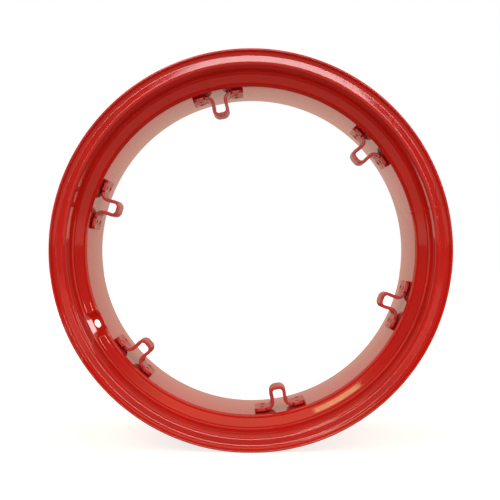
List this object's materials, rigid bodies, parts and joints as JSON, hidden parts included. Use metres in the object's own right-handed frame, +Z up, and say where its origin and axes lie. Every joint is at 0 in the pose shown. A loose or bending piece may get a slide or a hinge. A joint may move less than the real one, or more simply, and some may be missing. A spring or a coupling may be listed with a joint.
{
  "type": "drop-centre wheel rim",
  "caption": "Wide drop-centre steel wheel rim for a tractor, with bent strip loops welded inside its well to bolt a wheel disc to, and a pressed pocket for the valve.",
  "frame": {"origin": "centre of the wheel: on the axle's line, in the rim's middle plane", "axes": "+Y along the axle's line, from the outboard side with the valve hole to the inboard side; +Z up"},
  "size_m": [0.761, 0.3302, 0.761],
  "materials": {
    "rim_paint": "gloss red enamel",
    "loop_paint": "gloss red enamel",
    "weld_metal": "gloss red enamel over weld metal"
  },
  "bodies": {
    "root": {"rim_hoop": "rim_paint", "rim_butt_weld": "weld_metal", "loop_1": "loop_paint", "loop_1_weld_left_outboard": "weld_metal", "loop_1_weld_left_inboard": "weld_metal", "loop_1_weld_right_outboard": "weld_metal", "loop_1_weld_right_inboard": "weld_metal", "loop_2": "loop_paint", "loop_2_weld_left_outboard": "weld_metal", "loop_2_weld_left_inboard": "weld_metal", "loop_2_weld_right_outboard": "weld_metal", "loop_2_weld_right_inboard": "weld_metal", "loop_3": "loop_paint", "loop_3_weld_left_outboard": "weld_metal", "loop_3_weld_left_inboard": "weld_metal", "loop_3_weld_right_outboard": "weld_metal", "loop_3_weld_right_inboard": "weld_metal", "loop_4": "loop_paint", "loop_4_weld_left_outboard": "weld_metal", "loop_4_weld_left_inboard": "weld_metal", "loop_4_weld_right_outboard": "weld_metal", "loop_4_weld_right_inboard": "weld_metal", "loop_5": "loop_paint", "loop_5_weld_left_outboard": "weld_metal", "loop_5_weld_left_inboard": "weld_metal", "loop_5_weld_right_outboard": "weld_metal", "loop_5_weld_right_inboard": "weld_metal", "loop_6": "loop_paint", "loop_6_weld_left_outboard": "weld_metal", "loop_6_weld_left_inboard": "weld_metal", "loop_6_weld_right_outboard": "weld_metal", "loop_6_weld_right_inboard": "weld_metal"}
  },
  "joints": []
}
